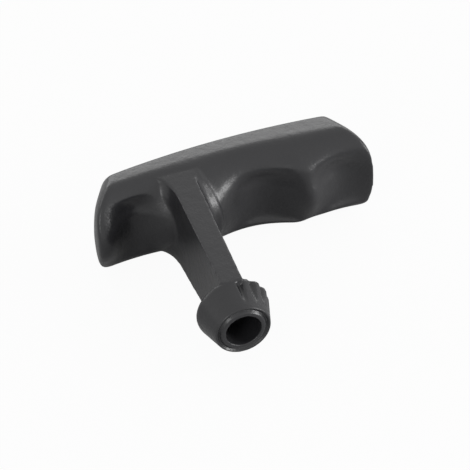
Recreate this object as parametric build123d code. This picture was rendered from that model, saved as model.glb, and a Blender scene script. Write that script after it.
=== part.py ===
from build123d import *
import os
from math import radians, sqrt, tan

# A one-piece moulded recoil starter handle.
# X runs along the grip, towards the side that takes two fingers.
# The rope leaves along -Y, and Z is the thickness, with the mould parting at Z = 0.
# The origin is the centre of the rope mouth, at the tip of the nose.
# Every y size is a distance back from that mouth.

# Grip body
grip_length = 71.8
grip_middle_x = 12.5
grip_half_thickness = 12.8
band_front_y = 48.1
band_depth = 6.4
band_widening = 0.038
band_lean_deg = 9.0
band_round = 2.0
crown_radius = 216.0
back_bulge = 4.0

# Front face, whose rim joins it to the facet below each band
front_middle_y = 38.4
front_rim_y = 40.25
rim_drop = 3.9
rim_softness = 0.8
hollow_power = 1.5

# Finger pockets in the middle of the front face: place along the grip, half width, depth
pockets = [(-12.5, 8.0, 5.4), (19.5, 12.0, 6.2), (41.5, 10.0, 4.6)]

# Scallops that the same fingers leave in the rim: place along the grip, half width, depth
scallops = [(-12.0, 17.0, 2.6), (16.5, 13.0, 2.7), (40.5, 12.0, 1.0)]

# Stations of the lofted grip
station_count = 29
station_margin = 2.0
front_samples = 3

# Rounding of the ends: share of the half thickness and shortening there
end_heights = [(1.1, 5.0), (1.0, 4.2), (0.9, 3.0), (0.75, 1.6), (0.6, 0.8), (0.4, 0.3), (0.0, 0.0)]

# Rounding of the ends: distance back and shortening there
end_depths = [(32.0, 0.0), (39.0, 0.0), (42.5, 0.1), (47.0, 1.3), (50.0, 2.9), (54.0, 5.3), (60.0, 10.0)]

# Blade between nose and grip
blade_nose_half_width = 2.75
blade_root_half_width = 3.1
blade_nose_rise = 0.1
blade_root_drop = 0.8
blade_root_y = 46.0
blade_end_y = 50.0
blade_overlap = 0.5
flare_left = 5.0
flare_right = 4.8
flare_right_top = 1.2
flare_reach = 1.8
flare_lead = 0.9
crest_height = 0.6
crest_run = 1.4
blade_levels = 9

# Nose, from the mouth outwards
mouth_radius = 4.45
lip_flat = 0.45
lip_round = 1.0
lip_height = 0.3
rim_land = 1.1
rim_height = 0.5
cone_spread = 2.1
nose_ring_y = 7.8
nose_ring_land = 0.8
shoulder_inset = 3.3
shoulder_y = 10.4

# Rope way
mouth_depth = 8.0
mouth_cone = 2.4
rope_radius = 2.0
knot_radius = 5.5
knot_depth = 10.0

# Flutes on the side of the nose
flute_count = 8
flute_pitch_deg = 22.5
flute_radius = 1.3
flute_depth = 0.7
flute_front_y = 2.2

# Sizes that follow from those above
rim_z = grip_half_thickness - rim_drop
lip_radius = mouth_radius + lip_flat + lip_round
nose_rim_radius = lip_radius + rim_land
nose_ring_radius = nose_rim_radius + cone_spread
blade_nose_half_height = nose_ring_radius + blade_nose_rise
blade_root_half_height = grip_half_thickness - blade_root_drop
palm_y = band_front_y + band_depth + back_bulge


def bell(distance, half_width):
    """1 in the middle of a finger, falling smoothly to 0 at its edge."""
    share = min(abs(distance) / half_width, 1.0)
    return (1 - share**2) ** hollow_power


def hollows(x, fingers):
    """Depth at x of a row of finger hollows."""
    return sum(depth * bell(x - place, half_width) for place, half_width, depth in fingers)


def band_y(x):
    """Front edge of the band, which falls forward towards the ends."""
    return band_front_y - (x - grip_middle_x) ** 2 / (2 * crown_radius)


def rim_y(x):
    """Where the facet below the band ends and the front face begins."""
    return front_rim_y + hollows(x, scallops)


def facet_slope(x):
    """Rise of the facet for each unit back."""
    return rim_drop / (band_y(x) - rim_y(x))


def front_y(x, z):
    """Front of the grip: whichever of dish and facet lies further back, softly joined."""
    middle = front_middle_y + hollows(x, pockets)
    dish = middle + (rim_y(x) - middle) * (z / rim_z) ** 2
    facet = rim_y(x) + (abs(z) - rim_z) / facet_slope(x)
    return (dish + facet) / 2 + sqrt((dish - facet) ** 2 / 4 + rim_softness**2)


def front_curve(x, start):
    """Front of the section at x, from the upper facet to the lower one."""
    start_y, start_z = start
    slope = facet_slope(x)
    step = start_z / front_samples
    levels = [start_z - step * i for i in range(1, 2 * front_samples)]
    points = [(front_y(x, z), z) for z in levels]
    ways = [(-1, -slope), (1, -slope)]
    return Spline(start, *points, (start_y, -start_z), tangents=ways)


def grip_section(x):
    """Closed outline of the grip at x, drawn in a plane across it."""
    half = grip_half_thickness
    lean = tan(radians(band_lean_deg))
    front = band_y(x)
    depth = band_depth + band_widening * (x - grip_middle_x)
    back = front + depth
    back_z = half - depth * lean
    start = (front - band_round, half - band_round * facet_slope(x))
    land = (front + band_round, half - band_round * lean)
    edges = [
        front_curve(x, start),
        Bezier(start, (front, half), land),
        Line(land, (back, back_z)),
        ThreePointArc((back, back_z), (back + back_bulge, 0), (back, -back_z)),
        Line((back, -back_z), (land[0], -land[1])),
        Bezier((land[0], -land[1]), (front, -half), (start[0], -start[1])),
    ]
    return Plane.YZ.offset(x) * make_face(edges)


def grip_block():
    """The grip, a little longer than its finished length."""
    first = grip_middle_x - grip_length / 2 - station_margin
    step = (grip_length + 2 * station_margin) / (station_count - 1)
    return loft([grip_section(first + step * i) for i in range(station_count)])


def end_outline(share, shortening):
    """Outline of the grip seen from above, at a share of its half thickness."""
    half = grip_length / 2 - shortening
    right = [(grip_middle_x + half - drop, y) for y, drop in end_depths]
    left = [(grip_middle_x - half + drop, y) for y, drop in reversed(end_depths)]
    edges = [Spline(*right), Line(right[-1], left[0]), Spline(*left), Line(left[-1], right[0])]
    return Plane.XY.offset(share * grip_half_thickness) * make_face(edges)


def end_envelope():
    """Solid that rounds off the ends of the grip, the same above and below the parting."""
    lower = [(-share, shortening) for share, shortening in end_heights]
    upper = [(share, shortening) for share, shortening in reversed(end_heights[:-1])]
    return loft([end_outline(share, shortening) for share, shortening in lower + upper])


def blade_section(z):
    """Plan outline of the blade at height z, flaring into the front of the grip."""
    nose = blade_nose_half_width
    root = blade_root_half_width
    left = -root - flare_left
    left_y = front_y(left, z) + blade_overlap
    left_start = (-root, left_y - flare_reach * flare_left)
    rise = (z / blade_root_half_height) ** 2
    flare = flare_right + (flare_right_top - flare_right) * rise
    right = root + flare
    right_y = front_y(right, z) - crest_height
    right_start = (root, right_y - flare_reach * flare)
    foot = (right + crest_run, front_y(right + crest_run, z) + blade_overlap)
    edges = [
        Line((-nose, nose_ring_y), (nose, nose_ring_y)),
        Line((nose, nose_ring_y), right_start),
        Bezier(right_start, (root, right_y - flare_lead), (right, right_y)),
        Line((right, right_y), foot),
        Line(foot, (foot[0], blade_end_y)),
        Line((foot[0], blade_end_y), (left, blade_end_y)),
        Line((left, blade_end_y), (left, left_y)),
        Bezier((left, left_y), (-root, left_y - flare_lead), left_start),
        Line(left_start, (-nose, nose_ring_y)),
    ]
    return Plane.XY.offset(z) * make_face(edges)


def blade():
    """Flat blade, a little deeper towards the grip."""
    top = blade_root_half_height
    step = 2 * top / (blade_levels - 1)
    flared = loft([blade_section(-top + step * i) for i in range(blade_levels)])
    low = blade_nose_half_height
    upper = [(nose_ring_y, low), (blade_root_y, top), (blade_end_y, top)]
    lower = [(y, -z) for y, z in reversed(upper)]
    side = Plane.YZ * make_face(Polyline(*upper, *lower, close=True))
    return flared & extrude(side, amount=grip_length, both=True)


def nose_profile():
    """Half section of the nose: radius against distance back."""
    lip_start = (mouth_radius + lip_flat, 0)
    lip = (lip_radius, lip_height)
    rim = (nose_rim_radius, rim_height)
    ring = (nose_ring_radius, nose_ring_y)
    land = (nose_ring_radius, nose_ring_y + nose_ring_land)
    shoulder = (nose_ring_radius - shoulder_inset, shoulder_y)
    edges = [
        Line((0, 0), lip_start),
        Bezier(lip_start, (lip_radius, 0), lip),
        Bezier(lip, (nose_rim_radius, 0), rim),
        Line(rim, ring),
        Line(ring, land),
        Line(land, shoulder),
        Line(shoulder, (0, shoulder_y)),
        Line((0, shoulder_y), (0, 0)),
    ]
    return make_face(edges)


def flute(angle_deg):
    """Round cutter that fades out towards the tip of the nose."""
    slant = cone_spread / (nose_ring_y - rim_height)
    cone_radius = nose_rim_radius + slant * (flute_front_y - rim_height)
    start = Vector(cone_radius + flute_radius, flute_front_y, 0)
    end = Vector(nose_ring_radius + flute_radius - flute_depth, nose_ring_y, 0)
    way = end - start
    low = (Align.CENTER, Align.CENTER, Align.MIN)
    body = Plane(start, z_dir=way) * Cylinder(flute_radius, 2 * way.length, align=low)
    return Rot(0, angle_deg, 0) * body


def nose():
    """Cone that widens back to a ring, fluted on the side of the two fingers."""
    body = revolve(nose_profile(), Axis.Y)
    half_span = flute_pitch_deg * (flute_count - 1) / 2
    for i in range(flute_count):
        body -= flute(flute_pitch_deg * i - half_span)
    return body


def on_axis(shape, start):
    """A shape drawn upwards from the ground, laid on the rope axis at start."""
    return Pos(0, start, 0) * Rot(-90, 0, 0) * shape


def rope_way():
    """Mouth, rope hole and knot pocket, all on the rope axis."""
    low = (Align.CENTER, Align.CENTER, Align.MIN)
    mouth = on_axis(Cylinder(mouth_radius, mouth_depth, align=low), 0)
    cone = on_axis(Cone(mouth_radius, rope_radius, mouth_cone, align=low), mouth_depth)
    hole = on_axis(Cylinder(rope_radius, palm_y, align=low), 0)
    knot = on_axis(Cylinder(knot_radius, 2 * knot_depth, align=low), palm_y - knot_depth)
    return mouth + cone + hole + knot


def handle():
    """The finished moulding."""
    grip = grip_block() & end_envelope()
    return grip + blade() + nose() - rope_way()


os.makedirs("parts", exist_ok=True)
export_step(handle(), "parts/starter_handle.step")
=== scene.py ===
"""Moulded recoil starter handle: its softened moulding, its finish, the lamps and the camera."""

import logging
import math
from collections.abc import Sequence
from dataclasses import dataclass, field
from enum import Enum
from typing import Any

import bmesh
import bpy
import numpy as np
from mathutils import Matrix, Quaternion, Vector

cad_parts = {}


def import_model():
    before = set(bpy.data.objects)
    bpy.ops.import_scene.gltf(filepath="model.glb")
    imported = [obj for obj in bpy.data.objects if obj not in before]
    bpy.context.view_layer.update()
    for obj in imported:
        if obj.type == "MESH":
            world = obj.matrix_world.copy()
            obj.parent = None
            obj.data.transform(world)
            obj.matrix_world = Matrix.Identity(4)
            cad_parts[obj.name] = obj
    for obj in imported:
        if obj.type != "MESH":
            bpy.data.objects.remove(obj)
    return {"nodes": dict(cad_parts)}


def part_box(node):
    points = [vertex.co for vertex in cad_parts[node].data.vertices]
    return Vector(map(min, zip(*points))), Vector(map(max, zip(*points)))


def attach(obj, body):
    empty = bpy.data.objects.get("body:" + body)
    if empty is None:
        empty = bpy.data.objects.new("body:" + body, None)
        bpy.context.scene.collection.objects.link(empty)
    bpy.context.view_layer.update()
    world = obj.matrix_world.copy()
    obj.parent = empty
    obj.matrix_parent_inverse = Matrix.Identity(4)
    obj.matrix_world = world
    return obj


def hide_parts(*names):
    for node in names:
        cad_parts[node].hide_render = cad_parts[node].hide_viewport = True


LOG = logging.getLogger("starter_handle")
MM = 0.001
PHOTO_PIXELS = 470
WHITE = (1.0, 1.0, 1.0, 1.0)

# The Mix node is told its colour sockets by number, because their names repeat.
MIX_SHARE = 0
MIX_FIRST = 6
MIX_SECOND = 7
MIX_RESULT = 2


def linear(hex_colour: str) -> tuple[float, float, float, float]:
    """Turns an sRGB hex colour into linear light.

    Args:
        hex_colour: The colour as #rrggbb.

    Returns:
        The linear red, green and blue, with full alpha.
    """
    shares = [int(hex_colour[i : i + 2], 16) / 255 for i in (1, 3, 5)]
    light = [c / 12.92 if c <= 0.04045 else ((c + 0.055) / 1.055) ** 2.4 for c in shares]
    return (light[0], light[1], light[2], 1.0)


def add_node(
    tree: bpy.types.NodeTree,
    kind: str,
    inputs: dict[str | int, Any] | None = None,
    **settings: Any,
) -> bpy.types.Node:
    """Adds one node with its settings, values and links.

    Args:
        tree: The node tree that gets the node.
        kind: Blender's name for the node type.
        inputs: For each input socket, a value or the output socket to link from.
        **settings: The node's own properties.

    Returns:
        The new node.
    """
    node = tree.nodes.new(kind)
    for name, value in settings.items():
        setattr(node, name, value)
    for socket, value in (inputs or {}).items():
        if isinstance(value, bpy.types.NodeSocket):
            tree.links.new(value, node.inputs[socket])
        else:
            node.inputs[socket].default_value = value
    return node


def larger(
    tree: bpy.types.NodeTree, first: bpy.types.NodeSocket, second: bpy.types.NodeSocket
) -> bpy.types.NodeSocket:
    """Adds a node that gives the larger of two values.

    Args:
        tree: The node tree that gets the node.
        first: One value.
        second: The other value.

    Returns:
        The output socket with the larger value.
    """
    return add_node(tree, "ShaderNodeMath", {0: first, 1: second}, operation="MAXIMUM").outputs[0]


def smooth_step(value: np.ndarray, low: float, high: float) -> np.ndarray:
    """Rises smoothly from 0 at low to 1 at high.

    Args:
        value: The numbers to grade.
        low: Where the rise starts.
        high: Where the rise ends.

    Returns:
        The graded numbers, from 0 to 1.
    """
    share = np.clip((value - low) / (high - low), 0.0, 1.0)
    return share * share * (3 - 2 * share)


def hump(distance: np.ndarray, half_width: float) -> np.ndarray:
    """Rises smoothly to 1 in the middle of a strip.

    Args:
        distance: The distances from the middle of the strip.
        half_width: Half the strip's width, in the same unit.

    Returns:
        The height of the hump, 0 outside the strip.
    """
    return np.clip(1 - (distance / half_width) ** 2, 0.0, 1.0) ** 2


def outward(azimuth_deg: float, elevation_deg: float) -> Vector:
    """Points from the handle towards a lamp or the camera.

    Args:
        azimuth_deg: The turn from +Y towards +X.
        elevation_deg: The rise above the floor.

    Returns:
        A direction of length 1.
    """
    turn = math.radians(azimuth_deg)
    rise = math.radians(elevation_deg)
    level = Vector((math.sin(turn), math.cos(turn), 0)) * math.cos(rise)
    return level + Vector((0, 0, math.sin(rise)))


@dataclass(frozen=True)
class MouldedPolyamide:
    """Black polyamide 6, injection moulded in a spark-eroded tool.

    The eye gets a charcoal that is a little lighter where light grazes it, a broad soft sheen
    with no sharp reflection, and a fine even grain.
    """

    name: str = "black_polyamide_moulded_in_eroded_tool"
    colour: str = "#212123"
    flow_colour: str = "#272729"
    roughness: float = 0.32
    roughness_swing: float = 0.07
    # Plain polyamide has 1.53. A little less keeps the facets as dark as the photo shows them.
    refraction: float = 1.49
    # Spark-eroded pits are about 0.05 mm wide, too fine to show, so they are drawn coarser.
    grain_mm: float = 0.5
    grain_height_mm: float = 0.03
    grain_detail: float = 3.0
    grain_harshness: float = 0.6
    ripple_mm: float = 2.0
    ripple_height_mm: float = 0.08
    flow_mm: float = 9.0
    soft_detail: float = 2.0
    soft_harshness: float = 0.5

    def noise(
        self, tree: bpy.types.NodeTree, size_mm: float, detail: float, harshness: float
    ) -> bpy.types.NodeSocket:
        """Adds a noise pattern that stays fixed to the moulding.

        Args:
            tree: The node tree that gets the pattern.
            size_mm: The size of its largest spots.
            detail: How many finer layers it has.
            harshness: The share that each finer layer keeps.

        Returns:
            The output socket with the pattern, about 0 to 1.
        """
        place = add_node(tree, "ShaderNodeTexCoord").outputs["Object"]
        inputs = {
            "Vector": place,
            "Scale": 1 / (size_mm * MM),
            "Detail": detail,
            "Roughness": harshness,
        }
        return add_node(tree, "ShaderNodeTexNoise", inputs).outputs["Fac"]

    def build(self) -> bpy.types.Material:
        """Builds the material.

        Returns:
            The procedural material, in Object coordinates.
        """
        material = bpy.data.materials.new(self.name)
        material.use_nodes = True
        tree = material.node_tree
        tree.nodes.clear()
        grain = self.noise(tree, self.grain_mm, self.grain_detail, self.grain_harshness)
        ripple = self.noise(tree, self.ripple_mm, self.soft_detail, self.soft_harshness)
        flow = self.noise(tree, self.flow_mm, self.soft_detail, self.soft_harshness)
        colour = add_node(
            tree,
            "ShaderNodeMix",
            {MIX_SHARE: flow, MIX_FIRST: linear(self.colour), MIX_SECOND: linear(self.flow_colour)},
            data_type="RGBA",
        )
        sheen = add_node(
            tree,
            "ShaderNodeMapRange",
            {
                "Value": grain,
                "To Min": self.roughness - self.roughness_swing,
                "To Max": self.roughness + self.roughness_swing,
            },
        )
        wavy = add_node(
            tree,
            "ShaderNodeBump",
            {"Height": ripple, "Strength": 1.0, "Distance": self.ripple_height_mm * MM},
        )
        pitted = add_node(
            tree,
            "ShaderNodeBump",
            {
                "Height": grain,
                "Strength": 1.0,
                "Distance": self.grain_height_mm * MM,
                "Normal": wavy.outputs["Normal"],
            },
        )
        shader = add_node(
            tree,
            "ShaderNodeBsdfPrincipled",
            {
                "Base Color": colour.outputs[MIX_RESULT],
                "Roughness": sheen.outputs["Result"],
                "Normal": pitted.outputs["Normal"],
                "IOR": self.refraction,
            },
        )
        add_node(tree, "ShaderNodeOutputMaterial", {"Surface": shader.outputs["BSDF"]})
        return material


@dataclass(frozen=True)
class PaleBoard:
    """Smooth white paper board, which the camera sees as the photo's white ground.

    The eye gets an even white that keeps a faint contact shadow.
    """

    name: str = "white_paper_board"
    colour: str = "#cfcfcf"
    roughness: float = 0.9
    shadow_share: float = 0.05

    def build(self) -> bpy.types.Material:
        """Builds the material.

        Returns:
            A matt board that the camera sees mostly as plain white.
        """
        material = bpy.data.materials.new(self.name)
        material.use_nodes = True
        tree = material.node_tree
        tree.nodes.clear()
        paper = add_node(
            tree,
            "ShaderNodeBsdfPrincipled",
            {"Base Color": linear(self.colour), "Roughness": self.roughness},
        )
        ground = add_node(tree, "ShaderNodeEmission", {"Color": WHITE, "Strength": 1.0})
        # The gloss shows the board as lit paper. As plain white it made the blade's side too light.
        rays = add_node(tree, "ShaderNodeLightPath")
        seen = add_node(
            tree,
            "ShaderNodeMath",
            {0: rays.outputs["Is Camera Ray"], 1: 1 - self.shadow_share},
            operation="MULTIPLY",
        )
        mix = add_node(
            tree,
            "ShaderNodeMixShader",
            {0: seen.outputs[0], 1: paper.outputs["BSDF"], 2: ground.outputs["Emission"]},
        )
        add_node(tree, "ShaderNodeOutputMaterial", {"Surface": mix.outputs["Shader"]})
        return material


@dataclass(frozen=True)
class NoseRelief:
    """The groove around the raised lip, and the flutes, as crisp as the mould leaves them."""

    front_mm: float = 1.6
    groove_radius_mm: float = 6.05
    groove_half_mm: float = 0.65
    groove_depth_mm: float = 0.55
    cone_radius_mm: float = 6.7
    ring_y_mm: float = 8.4
    flute_count: int = 8
    flute_pitch_deg: float = 22.5
    flute_half_deg: float = 6.5
    flute_depth_mm: float = 0.55
    flute_fade_mm: tuple[float, float] = (1.0, 6.5)
    blade_half_mm: float = 2.9
    blade_front_mm: float = 7.6

    def cut(self, points: np.ndarray) -> None:
        """Sinks the groove and the flutes into the nose.

        Args:
            points: The vertices, in metres, which move.
        """
        x, y, z = points.T / MM
        radius = np.hypot(x, z)
        groove = hump(radius - self.groove_radius_mm, self.groove_half_mm) * (y < self.front_mm)
        half_span = self.flute_pitch_deg * (self.flute_count - 1) / 2
        angle = np.degrees(np.arctan2(z, x))
        place = (angle + half_span) / self.flute_pitch_deg
        nearest = np.clip(np.round(place), 0, self.flute_count - 1)
        flute = hump((place - nearest) * self.flute_pitch_deg, self.flute_half_deg)
        on_blade = (np.abs(x) < self.blade_half_mm) & (y > self.blade_front_mm)
        on_cone = (radius > self.cone_radius_mm) & (y < self.ring_y_mm) & ~on_blade
        sink = self.flute_depth_mm * flute * smooth_step(y, *self.flute_fade_mm) * on_cone
        cone_radius = np.maximum(radius, self.cone_radius_mm)
        points[:, 1] += self.groove_depth_mm * groove * MM
        points[:, 0] -= sink * x / cone_radius * MM
        points[:, 2] -= sink * z / cone_radius * MM


@dataclass(frozen=True)
class Hollow:
    """A shallow finger hollow just inside the upper rim."""

    place_mm: float
    half_width_mm: float
    level_mm: float
    upper_reach_mm: float
    lower_reach_mm: float
    depth_mm: float

    def sink(self, x: np.ndarray, z: np.ndarray) -> np.ndarray:
        """Says how far the front face moves back.

        Args:
            x: Places along the grip, in mm.
            z: Heights above the parting, in mm.

        Returns:
            The depth of the hollow, in mm.
        """
        along = hump(x - self.place_mm, self.half_width_mm)
        rise = z - self.level_mm
        reach = np.where(rise > 0, self.upper_reach_mm, self.lower_reach_mm)
        return self.depth_mm * along * hump(rise / reach, 1.0)


@dataclass(frozen=True)
class PocketRelief:
    """The hollows that deepen the finger pockets under the upper rim of the front face."""

    front_face_mm: tuple[float, float] = (23.75, 47.5)
    hollows: tuple[Hollow, ...] = (
        Hollow(
            place_mm=-12.5,
            half_width_mm=8.5,
            level_mm=7.0,
            upper_reach_mm=3.4,
            lower_reach_mm=3.2,
            depth_mm=1.0,
        ),
        Hollow(
            place_mm=21.5,
            half_width_mm=10.0,
            level_mm=5.4,
            upper_reach_mm=3.6,
            lower_reach_mm=3.6,
            depth_mm=0.8,
        ),
        Hollow(
            place_mm=37.0,
            half_width_mm=9.5,
            level_mm=4.6,
            upper_reach_mm=4.4,
            lower_reach_mm=4.6,
            depth_mm=0.95,
        ),
    )

    def cut(self, points: np.ndarray) -> None:
        """Sinks the hollows into the front of the grip.

        Args:
            points: The vertices, in metres, which move.
        """
        x, y, z = points.T / MM
        nearest, furthest = self.front_face_mm
        on_face = (y > nearest) & (y < furthest)
        depth = sum(hollow.sink(x, z) for hollow in self.hollows)
        points[:, 1] += depth * on_face * MM


@dataclass
class Moulding:
    """The one moulded piece, with the soft edges that its mould gives it."""

    node: str = "starter_handle"
    body: str = "root"
    slot: str = "handle_plastic"
    name: str = "starter_handle_moulding"
    merge_m: float = 1e-7
    grid_mm: float = 0.25
    kept_share: float = 0.52
    edge_passes: int = 3
    grip_passes: int = 20
    end_passes: int = 44
    smoothing_share: float = 0.5
    blade_side_mm: tuple[float, float] = (5.5, 10.5)
    blade_back_mm: tuple[float, float] = (20.0, 30.0)
    band_edge_mm: tuple[float, float] = (46.0, 49.0)
    grip_middle_mm: float = 12.5
    end_reach_mm: tuple[float, float] = (24.0, 31.0)
    nose_relief: NoseRelief = field(default_factory=NoseRelief)
    pocket_relief: PocketRelief = field(default_factory=PocketRelief)
    finish: MouldedPolyamide = field(default_factory=MouldedPolyamide)

    def closed_copy(self, source: bpy.types.Object) -> bpy.types.Object:
        """Copies the solid as one closed mesh.

        Args:
            source: The CAD object, which stays as it is.

        Returns:
            A new object with merged doubles and outward normals.
        """
        mesh = source.data.copy()
        mesh.name = self.name
        work = bmesh.new()
        work.from_mesh(mesh)
        bmesh.ops.remove_doubles(work, verts=work.verts, dist=self.merge_m)
        bmesh.ops.recalc_face_normals(work, faces=work.faces)
        work.to_mesh(mesh)
        work.free()
        piece = bpy.data.objects.new(self.name, mesh)
        bpy.context.scene.collection.objects.link(piece)
        return piece

    def modified(self, piece: bpy.types.Object, kind: str, **settings: Any) -> None:
        """Applies one modifier for good.

        Args:
            piece: The object whose mesh is replaced.
            kind: Blender's name for the modifier type.
            **settings: The modifier's own properties.
        """
        modifier = piece.modifiers.new(kind.lower(), kind)
        for name, value in settings.items():
            setattr(modifier, name, value)
        graph = bpy.context.evaluated_depsgraph_get()
        mesh = bpy.data.meshes.new_from_object(piece.evaluated_get(graph))
        piece.modifiers.clear()
        piece.data = mesh

    def smoothing_turns(self, points: np.ndarray) -> np.ndarray:
        """Says how often each vertex is smoothed.

        Args:
            points: The vertices, in metres.

        Returns:
            Few turns at the nose and the blade, more on the grip and most at its ends.
        """
        beside = smooth_step(np.abs(points[:, 0]) / MM, *self.blade_side_mm)
        behind = smooth_step(points[:, 1] / MM, *self.band_edge_mm)
        past_nose = smooth_step(points[:, 1] / MM, *self.blade_back_mm)
        on_grip = np.maximum(beside * past_nose, behind)
        reach = np.abs(points[:, 0] / MM - self.grip_middle_mm)
        at_end = smooth_step(reach, *self.end_reach_mm)
        turns = self.edge_passes + (self.grip_passes - self.edge_passes) * on_grip
        return turns + (self.end_passes - self.grip_passes) * at_end

    def soften(self, mesh: bpy.types.Mesh) -> None:
        """Rounds every edge a little, and those of the grip as much as the real mould does.

        Args:
            mesh: The even grid, whose vertices move.
        """
        count = len(mesh.vertices)
        flat = np.empty(count * 3)
        mesh.vertices.foreach_get("co", flat)
        points = flat.reshape(-1, 3)
        ends = np.empty(len(mesh.edges) * 2, dtype=np.int64)
        mesh.edges.foreach_get("vertices", ends)
        first, second = ends.reshape(-1, 2).T
        number = np.bincount(first, minlength=count) + np.bincount(second, minlength=count)
        turns = self.smoothing_turns(points)
        for turn in range(self.end_passes):
            weight = self.smoothing_share * np.clip(turns - turn, 0.0, 1.0)
            total = np.stack(
                [
                    np.bincount(first, points[second, k], count)
                    + np.bincount(second, points[first, k], count)
                    for k in range(3)
                ],
                axis=1,
            )
            points += (total / number[:, None] - points) * weight[:, None]
        self.nose_relief.cut(points)
        self.pocket_relief.cut(points)
        mesh.vertices.foreach_set("co", points.reshape(-1))
        mesh.update()

    def build(self, source: bpy.types.Object) -> bpy.types.Object:
        """Makes the shown piece from the CAD solid.

        Args:
            source: The CAD object that it stands for.

        Returns:
            The finished piece.
        """
        piece = self.closed_copy(source)
        self.modified(piece, "REMESH", mode="VOXEL", voxel_size=self.grid_mm * MM)
        self.soften(piece.data)
        self.modified(piece, "DECIMATE", ratio=self.kept_share)
        for face in piece.data.polygons:
            face.use_smooth = True
        piece.data.materials.clear()
        piece.data.materials.append(self.finish.build())
        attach(piece, self.body)
        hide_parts(self.node)
        LOG.info("%s: %d faces", piece.name, len(piece.data.polygons))
        return piece


class LampRole(Enum):
    """What a studio lamp does for the handle."""

    BACK_PANEL = "back_panel"
    SIDE_PANEL = "side_panel"
    EDGE_STRIP = "edge_strip"
    SIDE_KEY = "side_key"
    FRONT_FILL = "front_fill"


@dataclass
class SoftBox:
    """One studio panel that faces the handle."""

    role: LampRole
    azimuth_deg: float
    elevation_deg: float
    distance_m: float
    width_m: float
    height_m: float
    watts: float
    target_m: tuple[float, float, float] = (0.01, 0.035, 0.0)

    def build(self) -> bpy.types.Object:
        """Makes the lamp and turns it to its target.

        Returns:
            The lamp.
        """
        lamp = bpy.data.lights.new(self.role.value, "AREA")
        lamp.shape = "RECTANGLE"
        lamp.size = self.width_m
        lamp.size_y = self.height_m
        lamp.energy = self.watts
        piece = bpy.data.objects.new(self.role.value, lamp)
        way = outward(self.azimuth_deg, self.elevation_deg)
        piece.location = Vector(self.target_m) + way * self.distance_m
        piece.rotation_euler = way.to_track_quat("Z", "Y").to_euler()
        bpy.context.scene.collection.objects.link(piece)
        LOG.info("%s: %.2f W", piece.name, self.watts)
        return piece


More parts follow.
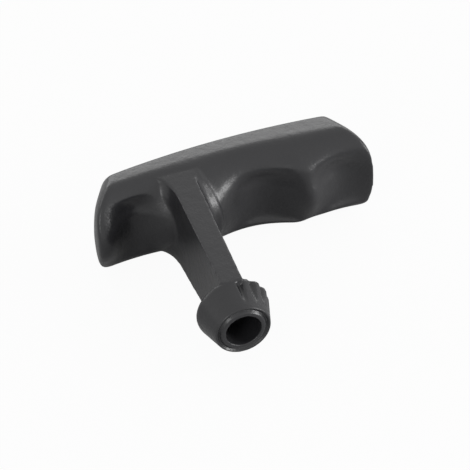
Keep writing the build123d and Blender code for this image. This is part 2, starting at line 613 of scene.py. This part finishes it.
@dataclass
class Studio:
    """White ground, plain white surroundings and the lamps."""

    floor_side_m: float = 3.0
    surround_strength: float = 0.62
    board: PaleBoard = field(default_factory=PaleBoard)
    lamps: tuple[SoftBox, ...] = (
        SoftBox(
            LampRole.BACK_PANEL,
            azimuth_deg=15,
            elevation_deg=21,
            distance_m=1.0,
            width_m=1.6,
            height_m=0.32,
            watts=4.2,
        ),
        SoftBox(
            LampRole.SIDE_PANEL,
            azimuth_deg=122,
            elevation_deg=8,
            distance_m=0.8,
            width_m=0.4,
            height_m=0.22,
            watts=3.6,
        ),
        SoftBox(
            LampRole.EDGE_STRIP,
            azimuth_deg=-46,
            elevation_deg=14,
            distance_m=0.8,
            width_m=0.25,
            height_m=0.16,
            watts=0.3,
        ),
        SoftBox(
            LampRole.SIDE_KEY,
            azimuth_deg=108,
            elevation_deg=30,
            distance_m=1.0,
            width_m=0.2,
            height_m=0.2,
            watts=1.2,
        ),
        SoftBox(
            LampRole.FRONT_FILL,
            azimuth_deg=-132,
            elevation_deg=26,
            distance_m=1.0,
            width_m=0.3,
            height_m=0.3,
            watts=1.8,
        ),
    )

    def floor(self, height: float) -> bpy.types.Object:
        """Lays the board that the handle rests on.

        Args:
            height: The height of the handle's lowest point.

        Returns:
            The board.
        """
        half = self.floor_side_m / 2
        outline = ((-half, -half), (half, -half), (half, half), (-half, half))
        corners = [(x, y, height) for x, y in outline]
        mesh = bpy.data.meshes.new("floor")
        mesh.from_pydata(corners, [], [(0, 1, 2, 3)])
        mesh.materials.append(self.board.build())
        piece = bpy.data.objects.new("floor", mesh)
        bpy.context.scene.collection.objects.link(piece)
        return piece

    def surround(self) -> None:
        """Sets the world: white where it is seen or mirrored, and a plain low light elsewhere."""
        world = bpy.data.worlds.new("surround")
        bpy.context.scene.world = world
        world.use_nodes = True
        tree = world.node_tree
        tree.nodes.clear()
        rays = add_node(tree, "ShaderNodeLightPath").outputs
        mirrored = larger(tree, rays["Is Glossy Ray"], rays["Is Transmission Ray"])
        shown = larger(tree, rays["Is Camera Ray"], mirrored)
        strength = add_node(
            tree,
            "ShaderNodeMapRange",
            {"Value": shown, "To Min": self.surround_strength, "To Max": 1.0},
        )
        ground = add_node(
            tree,
            "ShaderNodeBackground",
            {"Color": WHITE, "Strength": strength.outputs["Result"]},
        )
        add_node(tree, "ShaderNodeOutputWorld", {"Surface": ground.outputs["Background"]})

    def build(self, height: float) -> None:
        """Builds the whole studio.

        Args:
            height: The height of the handle's lowest point.
        """
        self.surround()
        self.floor(height)
        for lamp in self.lamps:
            lamp.build()


@dataclass
class CameraView:
    """The camera that took the photo, found from the handle's own straight edges.

    It stands far off, and a millimetre at the point that it aims at is 4.2 pixels long.
    """

    azimuth_deg: float = 198.01
    elevation_deg: float = 42.61
    roll_deg: float = -2.0
    distance_mm: float = 1190.5
    aim_mm: tuple[float, float, float] = (3.54, 15.16, 16.87)
    pixels_per_mm: float = 4.2
    sensor_mm: float = 36.0
    clip_m: tuple[float, float] = (0.05, 20.0)

    def build(self) -> bpy.types.Object:
        """Makes the camera and gives it to the scene.

        Returns:
            The camera.
        """
        data = bpy.data.cameras.new("photo_camera")
        data.sensor_width = self.sensor_mm
        data.lens = self.sensor_mm * self.pixels_per_mm * self.distance_mm / PHOTO_PIXELS
        data.clip_start, data.clip_end = self.clip_m
        camera = bpy.data.objects.new("photo_camera", data)
        way = outward(self.azimuth_deg, self.elevation_deg)
        roll = Quaternion((0, 0, 1), math.radians(self.roll_deg))
        camera.location = (Vector(self.aim_mm) + way * self.distance_mm) * MM
        camera.rotation_euler = (way.to_track_quat("Z", "Y") @ roll).to_euler()
        bpy.context.scene.collection.objects.link(camera)
        bpy.context.scene.camera = camera
        return camera


def main(frame: dict[str, Any]) -> None:
    """Builds the handle, the studio and the camera in order.

    Args:
        frame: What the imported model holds.
    """
    logging.basicConfig(level=logging.INFO, format="%(name)s: %(message)s")
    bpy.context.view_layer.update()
    moulding = Moulding()
    moulding.build(frame["nodes"][moulding.node])
    Studio().build(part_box(moulding.node)[0].z)
    CameraView().build()
    scene = bpy.context.scene
    scene.view_settings.view_transform = "Standard"


if __name__ == "__main__":
    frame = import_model()
    main(frame)
